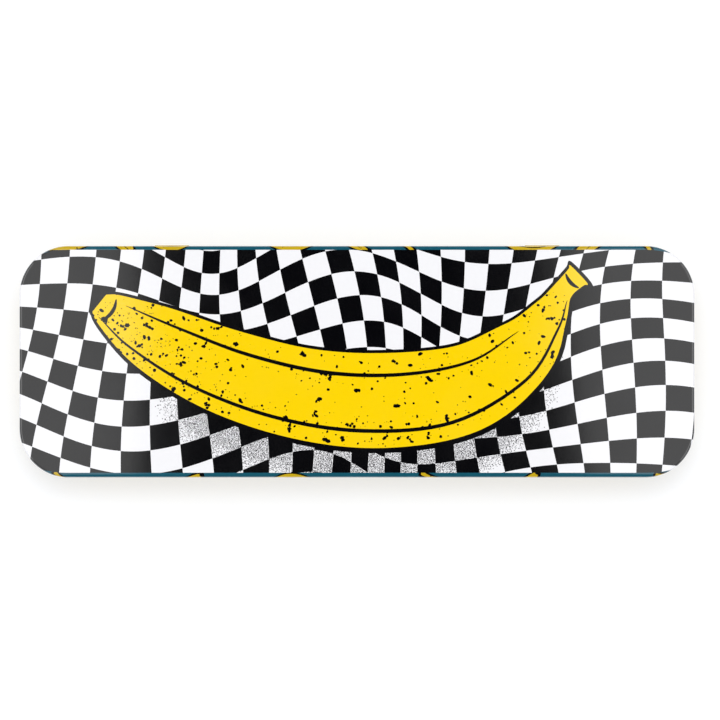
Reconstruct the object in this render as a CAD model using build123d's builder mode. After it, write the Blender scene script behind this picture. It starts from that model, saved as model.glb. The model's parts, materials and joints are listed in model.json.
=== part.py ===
"""A long hinged tinplate case with rounded corners, as used for pencils.

Two drawn sheet-steel shells: a base with a rolled rim, and a lid whose skirt slips over it and
ends in a rolled bead. At each of two hinges a tongue of the base's back wall passes through a
window in the lid's skirt and curls round the bead, which is rolled round a wire pin there.
Millimetres, +Z up. X runs along the case and +Y points to the back. The origin is on the
resting plane, below the middle of the lid's outline, and the lid is closed.
"""

import math
import os

from build123d import *

# Case
case_length = 200.0
case_width = 68.6
case_height = 24.0
corner_radius = 14.5
sheet = 0.28

# Lid
skirt_height = 7.5
lid_edge_radius = 1.0
bead_curl = 285.0

# Base
slip_clearance = 0.35
seat_clearance = 0.1
rim_radius = 0.75
rim_curl = 270.0
foot_radius = 1.6
foot_width = 3.5
panel_lift = 0.5
panel_radius = 8.0

# Hinges
hinge_spacing = 110.0
pin_radius = 0.5
pin_grip = 3.0
pin_chamfer = 0.12
tongue_width = 10.2
tongue_clearance = 0.07
tongue_lean = 10.0
tongue_end = 230.0
slit_width = 0.5
window_clearance = 0.3

# Worked out from the sizes above
bead_radius = pin_radius + sheet
axis_y = case_width / 2 - bead_radius
axis_z = case_height - skirt_height + bead_radius
base_inset = 2 * bead_radius + slip_clearance
base_back = case_width / 2 - base_inset
rim_top = case_height - sheet - seat_clearance
wall_top = rim_top - rim_radius
opening_width = tongue_width + 2 * slit_width
tongue_radius = bead_radius + tongue_clearance + sheet / 2
window_top = axis_z + tongue_radius + sheet / 2 + window_clearance
hinges = {"hinge_pin_left": -hinge_spacing / 2, "hinge_pin_right": hinge_spacing / 2}


def outline(inset, radius=None):
    """The case's rounded rectangle, drawn in by inset."""
    return RectangleRounded(
        case_length - 2 * inset,
        case_width - 2 * inset,
        corner_radius - inset if radius is None else radius,
    )


def block(inset, low, high, top_radius=0.0, bottom_radius=0.0):
    """A solid of the case's outline between two heights, with rounded top or bottom edges."""
    with BuildPart() as solid:
        with BuildSketch(Plane.XY.offset(low)):
            outline(inset)
        extrude(amount=high - low)
        if top_radius:
            fillet(solid.faces().sort_by(Axis.Z)[-1].edges(), top_radius)
        if bottom_radius:
            fillet(solid.faces().sort_by(Axis.Z)[0].edges(), bottom_radius)
    return solid.part


def rolled_edge(centre_inset, centre_z, radius, turn):
    """Sheet rolled inwards along the outline, from its outermost line through turn degrees."""
    with BuildSketch(Plane.XY.offset(centre_z)) as route:
        outline(centre_inset)
    front = Vector(0, centre_inset - case_width / 2, centre_z)
    with BuildPart() as roll:
        with BuildSketch(Plane(origin=front, x_dir=(0, -1, 0), z_dir=(-1, 0, 0))):
            with BuildLine():
                outer = CenterArc((0, 0), radius, 0, turn)
                inner = CenterArc((0, 0), radius - sheet, 0, turn)
                Line(outer @ 0, inner @ 0)
                Line(outer @ 1, inner @ 1)
            make_face()
        sweep(path=route.wire())
    return roll.part


def raised_panel(grow, low, high):
    """The plateau pressed up in the base's floor, with sloping sides."""
    with BuildPart() as panel:
        with BuildSketch(Plane.XY.offset(low)):
            outline(base_inset + foot_radius + foot_width - grow, panel_radius + grow)
        extrude(amount=high - low, taper=45)
    return panel.part


def back_cutter(centre, y_low, z_low, z_high):
    """A cutter as wide as a hinge opening, from y_low out through the back."""
    with BuildPart() as cutter:
        with BuildSketch(Plane.YZ.offset(centre - opening_width / 2)):
            y_high = case_width / 2 + 1
            with Locations(((y_low + y_high) / 2, (z_low + z_high) / 2)):
                Rectangle(y_high - y_low, z_high - z_low)
        extrude(amount=opening_width)
    return cutter.part


def tongue(centre, root_z):
    """A strip of the back wall that leans out, then curls over and round the hinge axis."""
    lean = math.radians(tongue_lean)
    bend = (
        axis_y - tongue_radius * math.cos(lean),
        axis_z + tongue_radius * math.sin(lean),
    )
    with BuildPart() as strip:
        with BuildSketch(Plane.YZ.offset(centre - tongue_width / 2)):
            with BuildLine():
                wall_middle = base_back - sheet / 2
                Polyline((wall_middle, root_z - sheet), (wall_middle, root_z), bend)
                start = 180 - tongue_lean
                CenterArc((axis_y, axis_z), tongue_radius, start, -tongue_end - start + 180)
            trace(line_width=sheet)
        extrude(amount=tongue_width)
    return strip.part


def tongue_root():
    """The height at which the leaning tongue leaves the back wall."""
    lean = math.radians(tongue_lean)
    step = base_back - sheet / 2 - (axis_y - tongue_radius * math.cos(lean))
    return axis_z + tongue_radius * math.sin(lean) + step / math.tan(lean)


with BuildPart() as lid_shell:
    # Drawn pan: flat panel, rounded edge and skirt
    add(block(0, axis_z, case_height, top_radius=lid_edge_radius))
    inner_edge = lid_edge_radius - sheet
    add(block(sheet, axis_z, case_height - sheet, top_radius=inner_edge), mode=Mode.SUBTRACT)
    add(rolled_edge(bead_radius, axis_z, bead_radius, -bead_curl))
    for centre in hinges.values():
        # Window above the bead, through the skirt only
        skirt_inside = case_width / 2 - 1.5 * sheet
        add(back_cutter(centre, skirt_inside, axis_z, window_top), mode=Mode.SUBTRACT)
lid_shell.part.label = "lid_shell"

with BuildPart() as base_shell:
    # Drawn tub: floor, rounded foot and wall
    add(block(base_inset, 0, wall_top, bottom_radius=foot_radius))
    inner_foot = foot_radius - sheet
    add(block(base_inset + sheet, sheet, wall_top, bottom_radius=inner_foot), mode=Mode.SUBTRACT)
    # Raised panel: metal above the lift, hollow below it
    add(raised_panel(sheet, sheet, panel_lift + sheet))
    add(raised_panel(0, 0, panel_lift), mode=Mode.SUBTRACT)
    add(rolled_edge(base_inset + rim_radius, wall_top, rim_radius, rim_curl))
    for centre in hinges.values():
        # Notch in the wall and rim, then the tongue that fills its foot
        rim_inside = base_back - 2 * rim_radius - sheet
        root = tongue_root()
        add(back_cutter(centre, rim_inside, root, case_height), mode=Mode.SUBTRACT)
        add(tongue(centre, root))
base_shell.part.label = "base_shell"

pins = []
for name, centre in hinges.items():
    with BuildPart() as hinge_pin:
        pin_length = opening_width + 2 * pin_grip
        with BuildSketch(Plane.YZ.offset(centre - pin_length / 2)):
            with Locations((axis_y, axis_z)):
                Circle(pin_radius)
        extrude(amount=pin_length)
        chamfer(hinge_pin.edges().filter_by(GeomType.CIRCLE), pin_chamfer)
    hinge_pin.part.label = name
    pins.append(hinge_pin.part)

os.makedirs("parts", exist_ok=True)
for piece in (lid_shell.part, base_shell.part, *pins):
    export_step(piece, f"parts/{piece.label}.step")

print("hinge axis at y", round(axis_y, 3), "z", round(axis_z, 3), "root", round(tongue_root(), 3))
print("lid volume", round(lid_shell.part.volume), "base volume", round(base_shell.part.volume))
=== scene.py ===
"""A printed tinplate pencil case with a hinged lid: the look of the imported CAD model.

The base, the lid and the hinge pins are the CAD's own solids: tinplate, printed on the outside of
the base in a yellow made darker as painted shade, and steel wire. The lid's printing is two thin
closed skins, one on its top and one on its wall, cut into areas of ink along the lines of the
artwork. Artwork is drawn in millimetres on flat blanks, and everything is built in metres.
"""

import json
import math
import random

import bpy
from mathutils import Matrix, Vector
from mathutils.geometry import delaunay_2d_cdt


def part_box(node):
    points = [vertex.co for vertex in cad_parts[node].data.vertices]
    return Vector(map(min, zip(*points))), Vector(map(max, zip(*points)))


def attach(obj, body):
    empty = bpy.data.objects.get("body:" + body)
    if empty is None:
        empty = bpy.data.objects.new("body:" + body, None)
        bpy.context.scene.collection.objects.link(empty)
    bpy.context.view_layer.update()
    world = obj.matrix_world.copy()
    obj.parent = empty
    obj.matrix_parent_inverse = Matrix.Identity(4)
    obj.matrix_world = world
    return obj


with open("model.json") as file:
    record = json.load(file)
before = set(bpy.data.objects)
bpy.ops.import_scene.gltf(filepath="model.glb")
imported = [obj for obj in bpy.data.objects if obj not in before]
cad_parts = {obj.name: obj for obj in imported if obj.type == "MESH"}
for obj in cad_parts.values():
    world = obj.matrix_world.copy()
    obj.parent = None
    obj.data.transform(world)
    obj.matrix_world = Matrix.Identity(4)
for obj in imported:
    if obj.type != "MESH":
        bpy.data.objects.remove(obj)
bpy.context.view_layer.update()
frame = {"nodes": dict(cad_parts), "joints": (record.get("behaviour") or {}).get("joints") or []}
random_ink = random.Random(11)
MM = 0.001

# ---------------------------------------------------------------- the tin's own sizes, in mm
lid_low, lid_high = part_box("lid_shell")
base_low, base_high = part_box("base_shell")
pin_low, pin_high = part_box("hinge_pin_left")
LENGTH = (lid_high.x - lid_low.x) / MM
WIDTH = (lid_high.y - lid_low.y) / MM
HEIGHT = lid_high.z / MM
LID_BOTTOM = lid_low.z / MM
AXIS_Z = frame["joints"][0]["pos_m"][2] / MM
AXIS_Y = frame["joints"][0]["pos_m"][1] / MM
CORNER = 14.5
CORNER_X = LENGTH / 2 - CORNER
CORNER_Y = WIDTH / 2 - CORNER
EDGE = 1.0
BEAD = AXIS_Z - LID_BOTTOM
SKIRT = HEIGHT - EDGE - AXIS_Z
BASE_INSET = (base_low.x - lid_low.x) / MM
FOOT = 1.6
RIM = 0.75
BASE_WALL_TOP = base_high.z / MM - RIM
TONGUE_REACH = 1.7
HINGE_X = (pin_high.x + pin_low.x) / 2 / MM
WINDOW_WIDTH = 11.2
WINDOW_TOP = AXIS_Z + BEAD + 0.65


# ---------------------------------------------------------------- the case's outline
def past_corner(x, y):
    """How far (x, y) lies beyond the nearest corner's centre, along X and along Y."""
    return abs(x) - CORNER_X, abs(y) - CORNER_Y


def rounded_inset(x, y):
    """How far (x, y) lies inside the case's rounded outline; less than 0 outside it."""
    dx, dy = past_corner(x, y)
    outside = math.hypot(max(dx, 0), max(dy, 0))
    return CORNER - outside - min(max(dx, dy), 0)


def outward(x, y):
    """Unit vector from the outline's inside to its nearest edge."""
    dx, dy = past_corner(x, y)
    if dx > 0 and dy > 0:
        size = math.hypot(dx, dy)
        return math.copysign(dx / size, x), math.copysign(dy / size, y)
    if dx > dy:
        return math.copysign(1.0, x), 0.0
    return 0.0, math.copysign(1.0, y)


class Perimeter:
    """The lid's outline, measured from the middle of its back, turning towards +X."""

    corner_steps = 36

    def __init__(self):
        arc = math.pi / 2 * CORNER
        side, end = 2 * CORNER_X, 2 * CORNER_Y
        self.runs = (CORNER_X, arc, end, arc, side, arc, end, arc, CORNER_X)
        self.total = sum(self.runs)

    def at(self, t):
        """(x, y, outward x, outward y) at a distance t along the outline."""
        t %= self.total
        for i, run in enumerate(self.runs):
            if t <= run or i == len(self.runs) - 1:
                break
            t -= run
        centres = ((0, CORNER_Y), (CORNER_X, CORNER_Y), (CORNER_X, -CORNER_Y),
                   (-CORNER_X, -CORNER_Y), (-CORNER_X, CORNER_Y))
        cx, cy = centres[(i + 1) // 2]
        facing = 90.0 - 90.0 * (i // 2)
        round_a_corner = i % 2
        if round_a_corner:
            angle = math.radians(facing - 90.0 * t / run)
            nx, ny = math.cos(angle), math.sin(angle)
            return cx + CORNER * nx, cy + CORNER * ny, nx, ny
        nx, ny = round(math.cos(math.radians(facing))), round(math.sin(math.radians(facing)))
        return cx + CORNER * nx + ny * t, cy + CORNER * ny - nx * t, nx, ny

    def corner_cuts(self):
        """Distances of the upright lines that keep the corners round."""
        cuts, start = [], 0.0
        for i, run in enumerate(self.runs):
            if i % 2:
                cuts += [start + run * k / self.corner_steps for k in range(self.corner_steps + 1)]
            start += run
        return cuts


lid_outline = Perimeter()


# ---------------------------------------------------------------- lines and loops of ink
STROKE_STEPS = 8
STROKE_END_WIDTH = 0.12


def between(a, b, c, d, s):
    """A point from b, at s = 0, to c, at s = 1, on a smooth curve through all four."""
    return 0.5 * ((2 * b) + (c - a) * s + (2 * a - 5 * b + 4 * c - d) * s * s
                  + (3 * b - a - 3 * c + d) * s ** 3)


def smooth_loop(points, steps):
    """A closed curve through the points."""
    curve = []
    count = len(points)
    for i in range(count):
        a, b, c, d = (points[(i + k) % count] for k in (-1, 0, 1, 2))
        curve += [between(a, b, c, d, k / steps) for k in range(steps)]
    return curve


def smooth_line(points, steps):
    """An open curve through the points."""
    points = [Vector(p) for p in points]
    before = 2 * points[0] - points[1]
    after = 2 * points[-1] - points[-2]
    padded = [before] + points + [after]
    curve = []
    for a, b, c, d in zip(padded, padded[1:], padded[2:], padded[3:]):
        curve += [between(a, b, c, d, k / steps) for k in range(steps)]
    return curve + points[-1:]


def runs_left(loop):
    """True if the closed loop runs anticlockwise."""
    return sum(a.x * b.y - b.x * a.y for a, b in zip(loop, loop[1:] + loop[:1])) > 0


def inside(loop, p):
    """True if the point p is inside the closed loop."""
    hit = False
    for a, b in zip(loop, loop[1:] + loop[:1]):
        if (a.y > p.y) != (b.y > p.y) and p.x < (b.x - a.x) * (p.y - a.y) / (b.y - a.y) + a.x:
            hit = not hit
    return hit


def clamped(value):
    return min(1.0, max(0.0, value))


def brush_stroke(points, widest):
    """A line of ink that swells to its middle and thins to its ends."""
    line = smooth_line(points, STROKE_STEPS)
    last = len(line) - 1
    left, right = [], []
    for i, p in enumerate(line):
        along = (line[min(i + 1, last)] - line[max(i - 1, 0)]).normalized()
        swell = math.sin(math.pi * i / last) ** 0.6
        half = (STROKE_END_WIDTH + (widest - STROKE_END_WIDTH) * swell) / 2
        side = Vector((-along.y, along.x)) * half
        left.append(p + side)
        right.append(p - side)
    return left + right[::-1]


def blob(centre, radius, stretch=1.0, sides=8, rough=0.2):
    """A small uneven spot of ink."""
    lean = random_ink.uniform(0, math.pi)
    loop = []
    for k in range(sides):
        angle = 2 * math.pi * k / sides
        r = radius * random_ink.uniform(1 - rough, 1 + rough)
        x, y = r * math.cos(angle) * stretch, r * math.sin(angle)
        loop.append(centre + Vector((x * math.cos(lean) - y * math.sin(lean),
                                     x * math.sin(lean) + y * math.cos(lean))))
    return loop


# ---------------------------------------------------------------- artwork: the wavy check
COLUMNS = range(-18, 18)
ROWS = range(-9, 9)
CELL_WIDTH = 7.2
CELL_HEIGHT = 6.6
CELL_SIDE_STEPS = 5
# Each wave: how far it moves the check and how long it is, both in mm, then the way it runs and
# where it starts, both in degrees
SIDEWAYS_WAVES = ((7, 190, 30, 180), (3, 85, -45, 90))
UPWARD_WAVES = ((5, 95, -20, 120), (2, 55, 40, 0))


def wave_sum(waves, p):
    """How far the waves together move a point of the plain check."""
    total = 0.0
    for size, length, way, start in waves:
        along = p.x * math.cos(math.radians(way)) + p.y * math.sin(math.radians(way))
        total += size * math.sin(2 * math.pi * along / length + math.radians(start))
    return total


def check_point(u, v):
    """Where column line u meets row line v."""
    p = Vector((CELL_WIDTH * u, CELL_HEIGHT * v))
    return p + Vector((wave_sum(SIDEWAYS_WAVES, p), wave_sum(UPWARD_WAVES, p)))


def check_squares():
    """Outlines of the black squares."""
    shares = [k / CELL_SIDE_STEPS for k in range(CELL_SIDE_STEPS)]
    squares = []
    for u in COLUMNS:
        for v in ROWS:
            if (u + v) % 2:
                continue
            sides = [(u + k, v) for k in shares]
            sides += [(u + 1, v + k) for k in shares]
            sides += [(u + 1 - k, v + 1) for k in shares]
            sides += [(u, v + 1 - k) for k in shares]
            squares.append([check_point(a, b) for a, b in sides])
    return squares


# ---------------------------------------------------------------- artwork: any banana
# A banana is a list of stations along its middle, each (x, y, half the width there)
def banana_point(stations, place, share):
    """A point beside a station, at a share of the half width: 1 is on the upper edge."""
    last = len(stations) - 1
    along = (stations[min(place + 1, last)] - stations[max(place - 1, 0)]).xy.normalized()
    middle = stations[place]
    return middle.xy + Vector((-along.y, along.x)) * middle.z * share


def banana_line(stations, share):
    """The line along a whole banana at a share of its half width."""
    return [banana_point(stations, place, share) for place in range(len(stations))]


def banana_outline(stations, steps):
    """The closed curve round a banana."""
    return smooth_loop(banana_line(stations, 1) + banana_line(stations, -1)[::-1], steps)


def narrowed(stations, amount):
    """The stations of the same banana, smaller all round by an amount."""
    inner = [Vector((p.x, p.y, p.z - amount)) for p in stations]
    for end, beside in ((0, 1), (-1, -2)):
        inward = (stations[beside] - stations[end]).xy.normalized() * amount
        inner[end] += inward.to_3d()
    return inner


def end_mark(stations, place, bulge):
    """A curved line across a banana near one end."""
    along = (stations[place + 1] - stations[place - 1]).xy.normalized()
    shares = (-0.7, -0.35, 0, 0.35, 0.7)
    return [banana_point(stations, place, k) + along * bulge * (1 - k * k) for k in shares]


# ---------------------------------------------------------------- artwork: the big banana
# From its blunt end to its stalk
BANANA = ((-77, 18, 3.5), (-73, 15, 6.5), (-60, 7, 11), (-40, -2.5, 13.5), (-16, -9.5, 14.5),
          (8, -11.5, 15), (32, -8, 14), (49, 3, 11), (57, 14, 6.5), (61, 21, 4), (66.5, 26.5, 4.5))
STATION_STEPS = 40
OUTLINE_EVERY = 10
OUTLINE_STEPS = 4
OUTLINE_WIDTH = 0.95
# Each ridge: its share of the half width, then its first and last station
RIDGES = ((0.5, 50, 330), (-0.6, 30, 370))
# Each end mark: its station, then how far it bulges
END_MARKS = ((30, 2.5), (385, -1.5))
MARK_WIDTH = 1.15
SPLOTCHES = 30
SPOTS = 230
SPECKS = 420


def speckle_chance(way, share):
    """Speckles crowd the blunt end and the ridges, and thin out to the stalk."""
    blunt = math.exp(-(((way - 0.18) / 0.11) ** 2) - ((share + 0.2) / 0.7) ** 2)
    lower = math.exp(-(((share + 0.65) / 0.3) ** 2) - ((way - 0.42) / 0.25) ** 2)
    upper = math.exp(-(((share - 0.5) / 0.25) ** 2) - ((way - 0.5) / 0.3) ** 2)
    return 0.13 + 0.8 * blunt + 0.6 * lower + 0.3 * upper


def place_on_skin(stations):
    """A place for a speckle."""
    widest = max(station.z for station in stations)
    while True:
        place = random_ink.randrange(len(stations) // 20, len(stations) * 8 // 9)
        share = random_ink.uniform(-0.92, 0.92)
        chance = speckle_chance(place / len(stations), share) * stations[place].z / widest
        if random_ink.random() < chance:
            return banana_point(stations, place, share)


def speckles(stations):
    """Ragged splotches, round spots and fine specks, in black."""
    marks = []
    for _ in range(SPLOTCHES):
        centre = place_on_skin(stations)
        lean = random_ink.uniform(0, math.pi)
        for step in (-1, 0, 1):
            reach = step * random_ink.uniform(0.4, 0.9)
            place = centre + Vector((math.cos(lean), math.sin(lean))) * reach
            marks.append(blob(place, random_ink.uniform(0.3, 0.6), 1.3, 9, 0.35))
    for _ in range(SPOTS):
        stretch = random_ink.choice((1.0, 1.0, 1.2, 1.6))
        size = random_ink.uniform(0.22, 0.5)
        marks.append(blob(place_on_skin(stations), size, stretch, 9, 0.15))
    for _ in range(SPECKS):
        marks.append(blob(place_on_skin(stations), random_ink.uniform(0.09, 0.2), 1.1, 6))
    return marks


SHADOW_SHIFT = Vector((0.3, -0.55))
SHADOW_LEFT = -62.0
SHADOW_RIGHT = 62.0
SHADOW_DEPTH = 20.0
FADE_LEFT = -60.0
LEFT_FADE = 12
RIGHT_FADE = 18
FADE_BOTTOM = 13.5
DOWNWARD_FADE = 7
GRAIN_PITCH = 0.27
GRAIN_JITTER = 0.13
# How deep the strips of the wall's print are over the lid's long edges
BAND_BACK = 1.15
BAND_FRONT = 1.4


def drop_shadow(lower_edge, squares):
    """Grains of ink on the white squares below the banana, closest next to it."""
    grains = []
    boxes = [(min(p.x for p in s), max(p.x for p in s), min(p.y for p in s), max(p.y for p in s), s)
             for s in squares]
    for i in range(int((SHADOW_RIGHT - SHADOW_LEFT) / GRAIN_PITCH)):
        x = SHADOW_LEFT + i * GRAIN_PITCH
        edge = min(lower_edge, key=lambda p: abs(p.x - x)).y
        ends = clamped((x - FADE_LEFT) / LEFT_FADE) * clamped((SHADOW_RIGHT - x) / RIGHT_FADE)
        for j in range(int(SHADOW_DEPTH / GRAIN_PITCH)):
            drop = j * GRAIN_PITCH
            jitter = Vector((random_ink.uniform(-GRAIN_JITTER, GRAIN_JITTER),
                             random_ink.uniform(-GRAIN_JITTER, GRAIN_JITTER)))
            luck = random_ink.random()
            size = random_ink.uniform(0.11, 0.17)
            p = Vector((x, edge - drop)) + jitter
            depth = clamped((FADE_BOTTOM - drop) / DOWNWARD_FADE)
            if luck > 0.95 * ends * depth or p.y < -WIDTH / 2 + BAND_FRONT:
                continue
            near = (s for x0, x1, y0, y1, s in boxes if x0 < p.x < x1 and y0 < p.y < y1)
            if any(inside(s, p) for s in near):
                continue
            grains.append(blob(p, size, 1.0, 4, 0.25))
    return grains


def big_banana(squares):
    """The banana over the check with its shadow, from the lowest ink to the topmost."""
    stations = smooth_line(BANANA, STATION_STEPS)
    sparse = stations[::OUTLINE_EVERY]
    silhouette = banana_outline(sparse, OUTLINE_STEPS)
    skin = banana_outline(narrowed(sparse, OUTLINE_WIDTH), OUTLINE_STEPS)
    inks = [("black", grain) for grain in drop_shadow(banana_line(stations, -1), squares)]
    inks.append(("black", [p + SHADOW_SHIFT for p in silhouette]))
    inks += [("black", silhouette), ("yellow", skin)]
    strokes = [banana_line(stations, share)[first:last:STATION_STEPS]
               for share, first, last in RIDGES]
    strokes += [end_mark(stations, place, bulge) for place, bulge in END_MARKS]
    inks += [("black", brush_stroke(line, MARK_WIDTH)) for line in strokes]
    return inks + [("black", spot) for spot in speckles(stations)]


# ---------------------------------------------------------------- artwork: small bananas
SMALL_BEND = 13.0
SMALL_HALF_WIDTHS = (0.7, 1.5, 2.2, 2.7, 3.0, 3.1, 3.1, 3.1, 3.0, 2.7, 2.2, 1.3, 0.8, 0.8)
SMALL_OUTLINE = 0.3
SMALL_SPOTS = 12
# Each small banana: how far along its wall from the wall's middle and how far below the top
# edge it is, in mm, its turn in degrees, and its size
BACK_BANANAS = ((-86, 3.0, 4, 1.0), (-69, 5.4, 78, 1.0), (-55, 1.7, 0, 0.75),
                (-37, 6.8, -160, 1.0), (-19, 2.6, -3, 0.95), (-1, 6.2, 75, 1.0),
                (15, 8.0, 96, 1.0), (32, 5.6, 185, 1.0), (52, 1.9, 2, 1.0),
                (70, 6.2, -75, 1.0), (86, 8.6, 100, 1.0))
FRONT_BANANAS = ((-86, 8.2, 84, 1.0), (-68, 5.6, 190, 1.0), (-50, 8.4, -84, 1.0),
                 (-34, 5.8, 170, 1.0), (-19, 2.2, 6, 0.8), (2, 5.8, 175, 1.0),
                 (24, 7.4, 78, 1.0), (36, 5.8, -168, 1.0), (52, 8.4, -98, 1.0),
                 (70, 5.6, 188, 1.0), (94, 8.0, 75, 1.0))
RIGHT_BANANAS = ((-12, 5.6, 172, 1.0), (9, 5.8, 20, 0.9))
LEFT_BANANAS = ((-9, 5.8, -15, 0.9), (12, 5.6, 165, 1.0))


def small_banana(t, s, turn, size):
    """The inks of a small banana, around (t, s) on the wall's blank, where s runs down."""
    stations = []
    for k, half_width in enumerate(SMALL_HALF_WIDTHS):
        angle = math.radians(8 * k - 52)
        stations.append(Vector((SMALL_BEND * math.sin(angle), SMALL_BEND * math.cos(angle) - 11,
                                half_width)))
    # The small bananas' yellow is the big banana's yellow made darker, as painted shade on the wall
    inks = [("black", banana_outline(narrowed(stations, -SMALL_OUTLINE), 2)),
            ("yellow_darkened_as_shade", banana_outline(narrowed(stations, SMALL_OUTLINE), 2)),
            ("black", brush_stroke(banana_line(stations, 0.3)[2:12:3], 0.35)),
            ("black", blob(stations[0].xy, 0.75))]
    for _ in range(SMALL_SPOTS):
        spot = banana_point(stations, random_ink.randrange(2, 12), random_ink.uniform(-0.8, 0.8))
        spot.x += random_ink.uniform(-0.9, 0.9)
        inks.append(("black", blob(spot, random_ink.uniform(0.12, 0.32), 1.3, 6)))
    across, down = math.cos(math.radians(turn)) * size, math.sin(math.radians(turn)) * size
    return [(ink, [Vector((t + p.x * across - p.y * down, s - p.x * down - p.y * across))
                   for p in loop]) for ink, loop in inks]


def lid_wall_bananas():
    """Small bananas round the lid's wall, some of them cut by its top edge."""
    quarter = lid_outline.total / 4
    walls = ((0.0, 1, BACK_BANANAS), (quarter * 2, -1, FRONT_BANANAS),
             (quarter, 1, RIGHT_BANANAS), (quarter * 3, 1, LEFT_BANANAS))
    inks = []
    for middle, way, bananas in walls:
        for x, s, turn, size in bananas:
            inks += small_banana(middle + way * x, s, turn, size)
    return inks


# ---------------------------------------------------------------- materials
NOISE_LOW = 0.3
NOISE_HIGH = 0.7


def new_material(name, color, roughness, metallic=0.0):
    material = bpy.data.materials.new(name)
    material.use_nodes = True
    shader = material.node_tree.nodes["Principled BSDF"]
    shader.inputs["Base Color"].default_value = (*color, 1)
    shader.inputs["Roughness"].default_value = roughness
    shader.inputs["Metallic"].default_value = metallic
    return material, material.node_tree, shader


def object_noise(tree, scale, detail, stretch=(1, 1, 1)):
    """Noise fixed to the object, in cycles a metre."""
    place = tree.nodes.new("ShaderNodeTexCoord")
    mapping = tree.nodes.new("ShaderNodeMapping")
    mapping.inputs["Scale"].default_value = stretch
    noise = tree.nodes.new("ShaderNodeTexNoise")
    noise.inputs["Scale"].default_value = scale
    noise.inputs["Detail"].default_value = detail
    tree.links.new(place.outputs["Object"], mapping.inputs["Vector"])
    tree.links.new(mapping.outputs["Vector"], noise.inputs["Vector"])
    return noise.outputs["Fac"]


def ramp(tree, noise, low, high):
    """Noise turned into colours from low to high."""
    node = tree.nodes.new("ShaderNodeValToRGB")
    first, last = node.color_ramp.elements
    first.position = NOISE_LOW
    last.position = NOISE_HIGH
    first.color = (*low, 1)
    last.color = (*high, 1)
    tree.links.new(noise, node.inputs["Fac"])
    return node.outputs["Color"]


def spread(tree, noise, low, high):
    """Noise turned into a number from low to high."""
    node = tree.nodes.new("ShaderNodeMapRange")
    node.inputs["From Min"].default_value = NOISE_LOW
    node.inputs["From Max"].default_value = NOISE_HIGH
    node.inputs["To Min"].default_value = low
    node.inputs["To Max"].default_value = high
    tree.links.new(noise, node.inputs["Value"])
    return node.outputs["Result"]


def bump(tree, shader, height, distance, strength):
    node = tree.nodes.new("ShaderNodeBump")
    node.inputs["Strength"].default_value = strength
    node.inputs["Distance"].default_value = distance
    tree.links.new(height, node.inputs["Height"])
    tree.links.new(node.outputs["Normal"], shader.inputs["Normal"])


def varnished_ink(name, color, mottle):
    """Litho ink under gloss varnish: faint mottle, smears in the gloss, a little orange peel."""
    material, tree, shader = new_material(name, color, 0.1)
    darker = tuple(c * (1 - mottle) for c in color)
    tint = ramp(tree, object_noise(tree, 900, 4), darker, color)
    tree.links.new(tint, shader.inputs["Base Color"])
    gloss = spread(tree, object_noise(tree, 60, 3), 0.07, 0.13)
    tree.links.new(gloss, shader.inputs["Roughness"])
    shader.inputs["Coat Weight"].default_value = 1.0
    shader.inputs["Coat Roughness"].default_value = 0.06
    bump(tree, shader, object_noise(tree, 350, 2), 0.00002, 0.15)
    return material


def rolled_metal(name, light, dark):
    """Bright metal with the fine straight grain of the rolling mill."""
    material, tree, shader = new_material(name, light, 0.3, 1.0)
    grain = object_noise(tree, 1500, 3, (0.04, 1, 1))
    tree.links.new(ramp(tree, grain, dark, light), shader.inputs["Base Color"])
    wear = spread(tree, object_noise(tree, 45, 2), 0.27, 0.33)
    tree.links.new(wear, shader.inputs["Roughness"])
    bump(tree, shader, grain, 0.00001, 0.2)
    return material


INKS = {
    "white": varnished_ink("white_ink", (0.94, 0.94, 0.97), 0.015),
    "black": varnished_ink("black_ink", (0.002, 0.002, 0.003), 0.3),
    "yellow": varnished_ink("yellow_ink", (1.0, 0.68, 0.0), 0.02),
    # The wall's teal, made darker as painted shade on the wall and the rounded edges
    "teal_darkened_as_shade": varnished_ink("teal_ink_darkened_as_shade", (0.008, 0.1, 0.15), 0.12),
    # The banana's yellow made darker as painted shade, for the small bananas on the wall and the
    # print on the base
    "yellow_darkened_as_shade": varnished_ink("yellow_ink_darkened_as_shade", (0.62, 0.42, 0.01), 0.06),
}
INK_ORDER = list(INKS)
BARE_TIN = rolled_metal("bare_tinplate", (0.72, 0.72, 0.7), (0.58, 0.58, 0.56))
WIRE = rolled_metal("steel_wire", (0.55, 0.55, 0.55), (0.4, 0.4, 0.4))


# ---------------------------------------------------------------- skins of ink, in general
SKIN_LIFT = 0.015
SKIN_DEPTH = 0.03
WELD = 1e-5
TRIANGLES_INSIDE = 1


def add_line(line, points, edges):
    """Adds an open line to the lines that a flat area is cut along."""
    start = len(points)
    points.extend(line)
    edges.extend((start + k, start + k + 1) for k in range(len(line) - 1))


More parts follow.
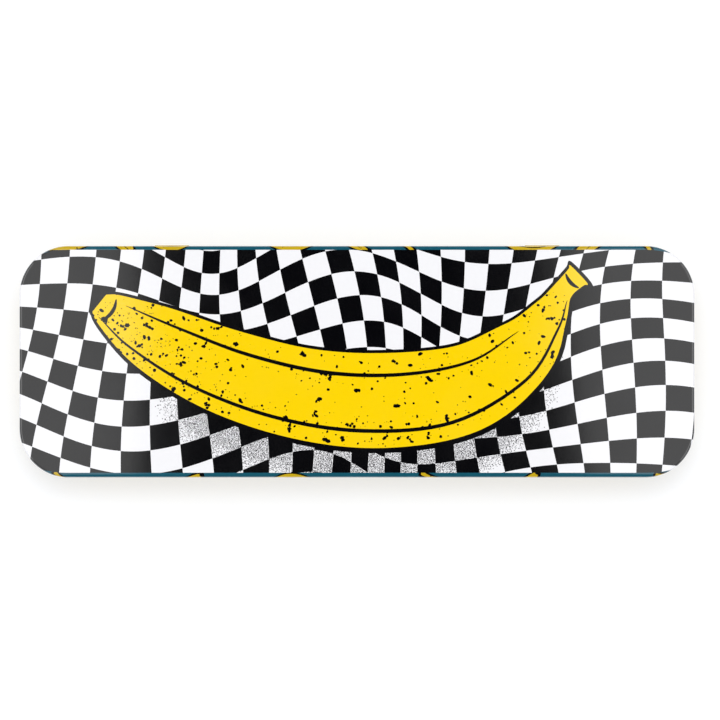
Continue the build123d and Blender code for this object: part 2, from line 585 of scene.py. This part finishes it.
def paint(domain, inks, cut_lines, holes=(), bands=(), band_inks=()):
    """Cuts the domain along every line and gives each triangle its topmost ink.

    Bands lie over the inks, and band inks show only on the bands.
    Returns flat points and [(three point numbers, ink name)].
    """
    points, edges, faces, names = [], [], [], []
    for name, loop in [("ground", domain), *inks, *bands, *(("hole", hole) for hole in holes)]:
        start = len(points)
        points.extend(loop if runs_left(loop) else loop[::-1])
        faces.append(list(range(start, start + len(loop))))
        names.append(name)
    for line in cut_lines:
        add_line(line, points, edges)
    for _, loop in band_inks:
        add_line(loop + loop[:1], points, edges)
    flat, _, cells, _, _, owners = delaunay_2d_cdt(points, edges, faces, TRIANGLES_INSIDE, WELD)
    band_numbers = set(range(1 + len(inks), 1 + len(inks) + len(bands)))
    painted = []
    for cell, owner in zip(cells, owners):
        if 0 not in owner or any(names[k] == "hole" for k in owner):
            continue
        ink = names[max(owner)]
        if band_numbers.intersection(owner):
            middle = (flat[cell[0]] + flat[cell[1]] + flat[cell[2]]) / 3
            over = [name for name, loop in band_inks if inside(loop, middle)]
            ink = over[-1] if over else ink
        painted.append((tuple(cell), ink))
    return flat, painted


def with_ground(painted, ground):
    """The painted triangles with bare ground given an ink of its own."""
    return [(cell, ground if ink == "ground" else ink) for cell, ink in painted]


def rim_loops(painted):
    """Closed loops of point numbers along the free edges of the painted triangles."""
    sides = {side for cell, _ in painted for side in zip(cell, cell[1:] + cell[:1])}
    following = {a: b for a, b in sides if (b, a) not in sides}
    loops = []
    while following:
        start, after = following.popitem()
        loop = [start]
        while after != start:
            loop.append(after)
            after = following.pop(after)
        loops.append(loop)
    return loops


def plain_cells(flat, loops, cut_lines):
    """The area between the loops cut only along the lines: points, triangles, rim numbers."""
    largest = max(loops, key=len)
    points, edges, faces, known = [], [], [], []
    for loop in [largest] + [loop for loop in loops if loop is not largest]:
        turned = loop if runs_left([flat[i] for i in loop]) else loop[::-1]
        faces.append(list(range(len(points), len(points) + len(loop))))
        points.extend(flat[i] for i in turned)
        known.extend(turned)
    for line in cut_lines:
        add_line(line, points, edges)
    spots, _, cells, origins, _, owners = delaunay_2d_cdt(points, edges, faces, TRIANGLES_INSIDE,
                                                          WELD)
    kept = [tuple(cell) for cell, owner in zip(cells, owners)
            if 0 in owner and not any(0 < k < len(faces) for k in owner)]
    rim = {known[k]: new for new, origin in enumerate(origins) for k in origin if k < len(known)}
    return spots, kept, rim


def new_piece(name, vertices, faces):
    """A new mesh object in the scene."""
    mesh = bpy.data.meshes.new(name)
    mesh.from_pydata(vertices, [], faces)
    piece = bpy.data.objects.new(name, mesh)
    bpy.context.scene.collection.objects.link(piece)
    return piece


def placed(flat, used, place, lift):
    """Vertices and normals of the used flat points, lifted off the steel along the normal."""
    vertices, normals = [], []
    for i in used:
        position, normal = place(flat[i])
        vertices.append((position + normal * lift) * MM)
        normals.append(normal)
    return vertices, normals


def build_skin(name, flat, painted, cut_lines, place):
    """A thin closed skin: painted triangles outside, and a plain face sunk in the steel."""
    loops = rim_loops(painted)
    spots, plain, rim = plain_cells(flat, loops, cut_lines)
    used = sorted({i for cell, _ in painted for i in cell})
    within = sorted({i for cell in plain for i in cell})
    vertices, normals = placed(flat, used, place, SKIN_LIFT)
    sunk_vertices, sunk_normals = placed(spots, within, place, -SKIN_DEPTH)
    number = {old: new for new, old in enumerate(used)}
    sunk = {old: len(used) + new for new, old in enumerate(within)}
    a, b, c = (number[i] for i in painted[0][0])
    flipped = (vertices[b] - vertices[a]).cross(vertices[c] - vertices[a]).dot(normals[a]) < 0
    faces = [tuple(number[i] for i in cell) for cell, _ in painted]
    faces += [tuple(sunk[i] for i in reversed(cell)) for cell in plain]
    for loop in loops:
        for p, q in zip(loop, loop[1:] + loop[:1]):
            faces.append((number[q], number[p], sunk[rim[p]], sunk[rim[q]]))
    if flipped:
        faces = [face[::-1] for face in faces]
    slots = [INK_ORDER.index(ink) for _, ink in painted]
    slots += [INK_ORDER.index("white")] * (len(faces) - len(slots))
    piece = new_piece(name, vertices + sunk_vertices, faces)
    mesh = piece.data
    for ink in INK_ORDER:
        mesh.materials.append(INKS[ink])
    mesh.polygons.foreach_set("material_index", slots)
    mesh.polygons.foreach_set("use_smooth", [True] * len(faces))
    mesh.normals_split_custom_set_from_vertices(normals + [-normal for normal in sunk_normals])
    mesh.update()
    return piece


# ---------------------------------------------------------------- the print on the lid's top
EDGE_STEPS = 8
OUTLINE_CORNER_STEPS = 24
BAND_STEPS = 8
BAND_TAPER = 32.0
BAND_OVERLAP = 0.5


def on_lid_top(p):
    """A point of the top artwork, on the panel or its rounded edge."""
    inset = max(0.0, rounded_inset(p.x, p.y))
    nx, ny = outward(p.x, p.y)
    if inset >= EDGE:
        return Vector((p.x, p.y, HEIGHT)), Vector((0, 0, 1))
    sine = 1 - inset / EDGE
    cosine = math.sqrt(max(0.0, 1 - sine * sine))
    return (Vector((p.x, p.y, HEIGHT - EDGE * (1 - cosine))),
            Vector((nx * sine, ny * sine, cosine)).normalized())


def outline_loop(inset):
    """The rounded outline, drawn in by inset, as a loop of points."""
    loop = []
    radius = CORNER - inset
    for sx, sy, start in ((1, 1, 0), (-1, 1, 90), (-1, -1, 180), (1, -1, 270)):
        for k in range(OUTLINE_CORNER_STEPS + 1):
            angle = math.radians(start + 90 * k / OUTLINE_CORNER_STEPS)
            loop.append(Vector((sx * CORNER_X + radius * math.cos(angle),
                                sy * CORNER_Y + radius * math.sin(angle))))
    return loop


def wall_band(side, depth):
    """The strip of wall ink that shows over a long edge, tapering away round the corners."""
    outer, inner = [], []
    for sx in (-1, 1):
        for k in range(BAND_STEPS + 1):
            share = k / BAND_STEPS if sx < 0 else 1 - k / BAND_STEPS
            angle = math.radians(BAND_TAPER * (1 - share))
            reach = depth * math.sin(math.pi / 2 * share) ** 0.8
            for loop, radius in ((outer, CORNER + BAND_OVERLAP), (inner, CORNER - reach)):
                loop.append(Vector((sx * (CORNER_X + radius * math.sin(angle)),
                                    side * (CORNER_Y + radius * math.cos(angle)))))
    return outer + inner[::-1]


def band_piece(loop):
    """A loop on the lid's wall blank, carried up over the rounded edge as seen from above.

    Ink below the edge lands a little outside the outline, where nothing is painted.
    """
    out = []
    for p in loop:
        x, y, nx, ny = lid_outline.at(p.x)
        angle = min(math.pi / 2, max(0.0, -p.y / EDGE))
        inset = EDGE * (1 - math.cos(angle)) + max(0.0, -p.y - EDGE * math.pi / 2)
        if p.y > 0:
            inset = -0.3 * min(p.y, 1.0)
        out.append(Vector((x - nx * inset, y - ny * inset)))
    return out


def lid_top_skin(wall_inks):
    """The top's print: check, banana, and the wall's print along the long edges."""
    squares = check_squares()
    inks = [("black", square) for square in squares] + big_banana(squares)
    # The strips over the long edges are in the teal made darker as painted shade
    bands = [("teal_darkened_as_shade", wall_band(1, BAND_BACK)), ("teal_darkened_as_shade", wall_band(-1, BAND_FRONT))]
    band_inks = [(ink, band_piece(loop)) for ink, loop in wall_inks if min(p.y for p in loop) < 0]
    rings = []
    for k in range(1, EDGE_STEPS + 1):
        ring = outline_loop(EDGE * (1 - math.sin(math.radians(90 - 90 / EDGE_STEPS * k))))
        rings.append(ring + ring[:1])
    flat, painted = paint(outline_loop(0.0), inks, rings, (), bands, band_inks)
    return build_skin("lid_top_print", flat, with_ground(painted, "white"), rings, on_lid_top)


# ---------------------------------------------------------------- the print on the lid's wall
BEAD_PRINTED = 200
BEAD_STEP = 10
WRAP_MARGIN = 20


def on_lid_wall(p):
    """A point of the lid's wall artwork: skirt, then round the bead."""
    x, y, nx, ny = lid_outline.at(p.x)
    if p.y <= SKIRT:
        return Vector((x, y, HEIGHT - EDGE - p.y)), Vector((nx, ny, 0))
    angle = (p.y - SKIRT) / BEAD
    away, down = math.cos(angle), math.sin(angle)
    return (Vector((x - nx * BEAD * (1 - away), y - ny * BEAD * (1 - away), AXIS_Z - BEAD * down)),
            Vector((nx * away, ny * away, -down)))


def window_holes():
    """The hinge windows on the wall's blank."""
    top, bottom = HEIGHT - EDGE - WINDOW_TOP, SKIRT
    holes = []
    for x in (HINGE_X, -HINGE_X):
        t = x % lid_outline.total
        low, high = t - WINDOW_WIDTH / 2, t + WINDOW_WIDTH / 2
        holes.append([Vector(c) for c in ((low, top), (high, top), (high, bottom), (low, bottom))])
    return holes


def lid_wall_skin(wall_inks):
    """The wall's print, from its blank: a strip as long as the outline."""
    total = lid_outline.total
    depth = SKIRT + BEAD * math.radians(BEAD_PRINTED)
    levels = [SKIRT + BEAD * math.radians(k) for k in range(0, BEAD_PRINTED, BEAD_STEP)]
    strip = [Vector(c) for c in ((0, 0), (total, 0), (total, depth), (0, depth))]
    cuts = [[Vector((t, 0)), Vector((t, depth))] for t in lid_outline.corner_cuts()]
    cuts += [[Vector((0, s)), Vector((total, s))] for s in levels]
    wrapped = []
    for ink, loop in wall_inks:
        for lap in (-total, 0.0, total):
            if any(-WRAP_MARGIN < p.x + lap < total + WRAP_MARGIN for p in loop):
                wrapped.append((ink, [p + Vector((lap, 0)) for p in loop]))
    flat, painted = paint(strip, wrapped, cuts, window_holes())
    # The wall's ground is the teal made darker as painted shade
    return build_skin("lid_wall_print", flat, with_ground(painted, "teal_darkened_as_shade"), cuts, on_lid_wall)


def print_the_lid():
    wall_inks = lid_wall_bananas()
    top = lid_top_skin(wall_inks)
    wall = lid_wall_skin(wall_inks)
    for skin in (top, wall):
        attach(skin, "lid")


# ---------------------------------------------------------------- finishes of the CAD solids
def base_printed(face):
    """True on the outside of the base: wall, foot, underside, and the outside of the tongues."""
    centre, normal = face.center / MM, face.normal
    from_axis = Vector((centre.y - AXIS_Y, centre.z - AXIS_Z))
    if centre.y > WIDTH / 2 - BASE_INSET + 0.01 and from_axis.length < TONGUE_REACH:
        if from_axis.y < -BEAD:
            return normal.y - normal.z > 0.5
        return from_axis.normalized().dot(Vector((normal.y, normal.z))) > 0.5
    if centre.z < FOOT and normal.z < -0.3:
        return True
    nx, ny = outward(centre.x, centre.y)
    inset = rounded_inset(centre.x, centre.y) - BASE_INSET
    return inset < 0.4 and centre.z < BASE_WALL_TOP and nx * normal.x + ny * normal.y > 0.5


def give_materials(node, *materials):
    """The node's mesh, with these material slots."""
    mesh = frame["nodes"][node].data
    mesh.materials.clear()
    for material in materials:
        mesh.materials.append(material)
    return mesh


def finish_cad():
    """Tinplate, printed on the outside of the base in a yellow made darker as painted shade, and
    steel hinge pins.
    """
    base = give_materials("base_shell", BARE_TIN, INKS["yellow_darkened_as_shade"])
    for face in base.polygons:
        face.material_index = 1 if base_printed(face) else 0
    give_materials("lid_shell", BARE_TIN)
    give_materials("hinge_pin_left", WIRE)
    give_materials("hinge_pin_right", WIRE)


finish_cad()
print_the_lid()


# ---------------------------------------------------------------- studio, in metres
TABLE_REACH = 3.0
TABLE_GLOW = 0.51
PANEL_GLOW = 2.8
ARCH_LEFT = -0.096
ARCH_RIGHT = 0.0935
ARCH_SLANT = 0.108
ARCH_FLARE = 0.25
KEY_Y = 0.55
KEY_Z = 2.5
CAMERA_X = 0.0009
CAMERA_Y = 0.0005
CAMERA_HEIGHT = 2.0
VIEW_WIDTH = 0.2133


def matt_material(name, color, roughness, glow=0.0):
    """A material with no gloss, which may glow white."""
    material, _, shader = new_material(name, color, roughness)
    shader.inputs["Specular IOR Level"].default_value = 0.0
    if glow:
        shader.inputs["Emission Color"].default_value = (1, 1, 1, 1)
        shader.inputs["Emission Strength"].default_value = glow
    return material


def stage_piece(name, corners, faces, material):
    piece = new_piece(name, corners, faces)
    piece.data.materials.append(material)
    return piece


def only_in_gloss(piece):
    """Leaves a piece of the studio to be seen only as a reflection."""
    piece.visible_camera = False
    piece.visible_diffuse = False
    piece.visible_shadow = False
    piece.visible_transmission = False


def table():
    """A pale table that partly glows, so that shadows on it stay faint."""
    paper = matt_material("white_table", (0.52, 0.54, 0.58), 0.9, TABLE_GLOW)
    corners = [(-TABLE_REACH, -TABLE_REACH, 0), (TABLE_REACH, -TABLE_REACH, 0),
               (TABLE_REACH, TABLE_REACH, 0), (-TABLE_REACH, TABLE_REACH, 0)]
    stage_piece("table", corners, [(0, 1, 2, 3)], paper)


def dark_arch():
    """A strip of dark room over the table, end to end, which the glossy lid mirrors."""
    corners = []
    for k in range(-16, 17):
        lean = math.radians(5 * k)
        flare = ARCH_FLARE * lean ** 2
        y, z = math.sin(lean), math.cos(lean)
        corners += [(ARCH_LEFT - flare, y, z), (ARCH_RIGHT - ARCH_SLANT * y + flare, y, z)]
    faces = [(k, k + 1, k + 3, k + 2) for k in range(0, len(corners) - 2, 2)]
    dark = matt_material("dark_room", (0.004, 0.004, 0.005), 1.0)
    only_in_gloss(stage_piece("dark_arch", corners, faces, dark))


def side_panels():
    """Two bright panels off the ends of the case, seen only in its gloss."""
    bright = matt_material("side_panel", (0, 0, 0), 1.0, PANEL_GLOW)
    for side in (-1, 1):
        corners = [(side, -0.8, 0.55), (side, 0.8, 0.55), (side, 0.8, 1.25), (side, -0.8, 1.25)]
        only_in_gloss(stage_piece("side_panel", corners, [(0, 1, 2, 3)], bright))


def sky():
    """Even light from all round that fades to the horizon."""
    world = bpy.data.worlds.new("studio")
    world.use_nodes = True
    tree = world.node_tree
    back = tree.nodes["Background"]
    back.inputs["Color"].default_value = (1, 1, 1, 1)
    place = tree.nodes.new("ShaderNodeTexCoord")
    split = tree.nodes.new("ShaderNodeSeparateXYZ")
    fade = tree.nodes.new("ShaderNodeMapRange")
    fade.inputs["From Min"].default_value = 0.0
    fade.inputs["From Max"].default_value = 0.9
    fade.inputs["To Min"].default_value = 0.3
    fade.inputs["To Max"].default_value = 1.02
    tree.links.new(place.outputs["Generated"], split.inputs["Vector"])
    tree.links.new(split.outputs["Z"], fade.inputs["Value"])
    tree.links.new(fade.outputs["Result"], back.inputs["Strength"])
    bpy.context.scene.world = world


def key_light():
    """A broad key light, a little behind the zenith."""
    light = bpy.data.lights.new("key", "AREA")
    light.shape = "DISK"
    light.size = 0.9
    light.energy = 18.5
    key = bpy.data.objects.new("key", light)
    key.location = (0, KEY_Y, KEY_Z)
    key.rotation_euler = (-math.atan2(KEY_Y, KEY_Z), 0, 0)
    key.visible_glossy = False
    bpy.context.scene.collection.objects.link(key)


def camera():
    """Straight above the case, with a long lens, the case across the middle of the view."""
    data = bpy.data.cameras.new("camera")
    data.sensor_width = 36.0
    data.lens = data.sensor_width * CAMERA_HEIGHT / VIEW_WIDTH
    data.clip_end = 20
    piece = bpy.data.objects.new("camera", data)
    piece.location = (CAMERA_X, CAMERA_Y, HEIGHT * MM + CAMERA_HEIGHT)
    bpy.context.scene.collection.objects.link(piece)
    bpy.context.scene.camera = piece


table()
dark_arch()
side_panels()
sky()
key_light()
camera()
bpy.context.scene.view_settings.view_transform = "Standard"
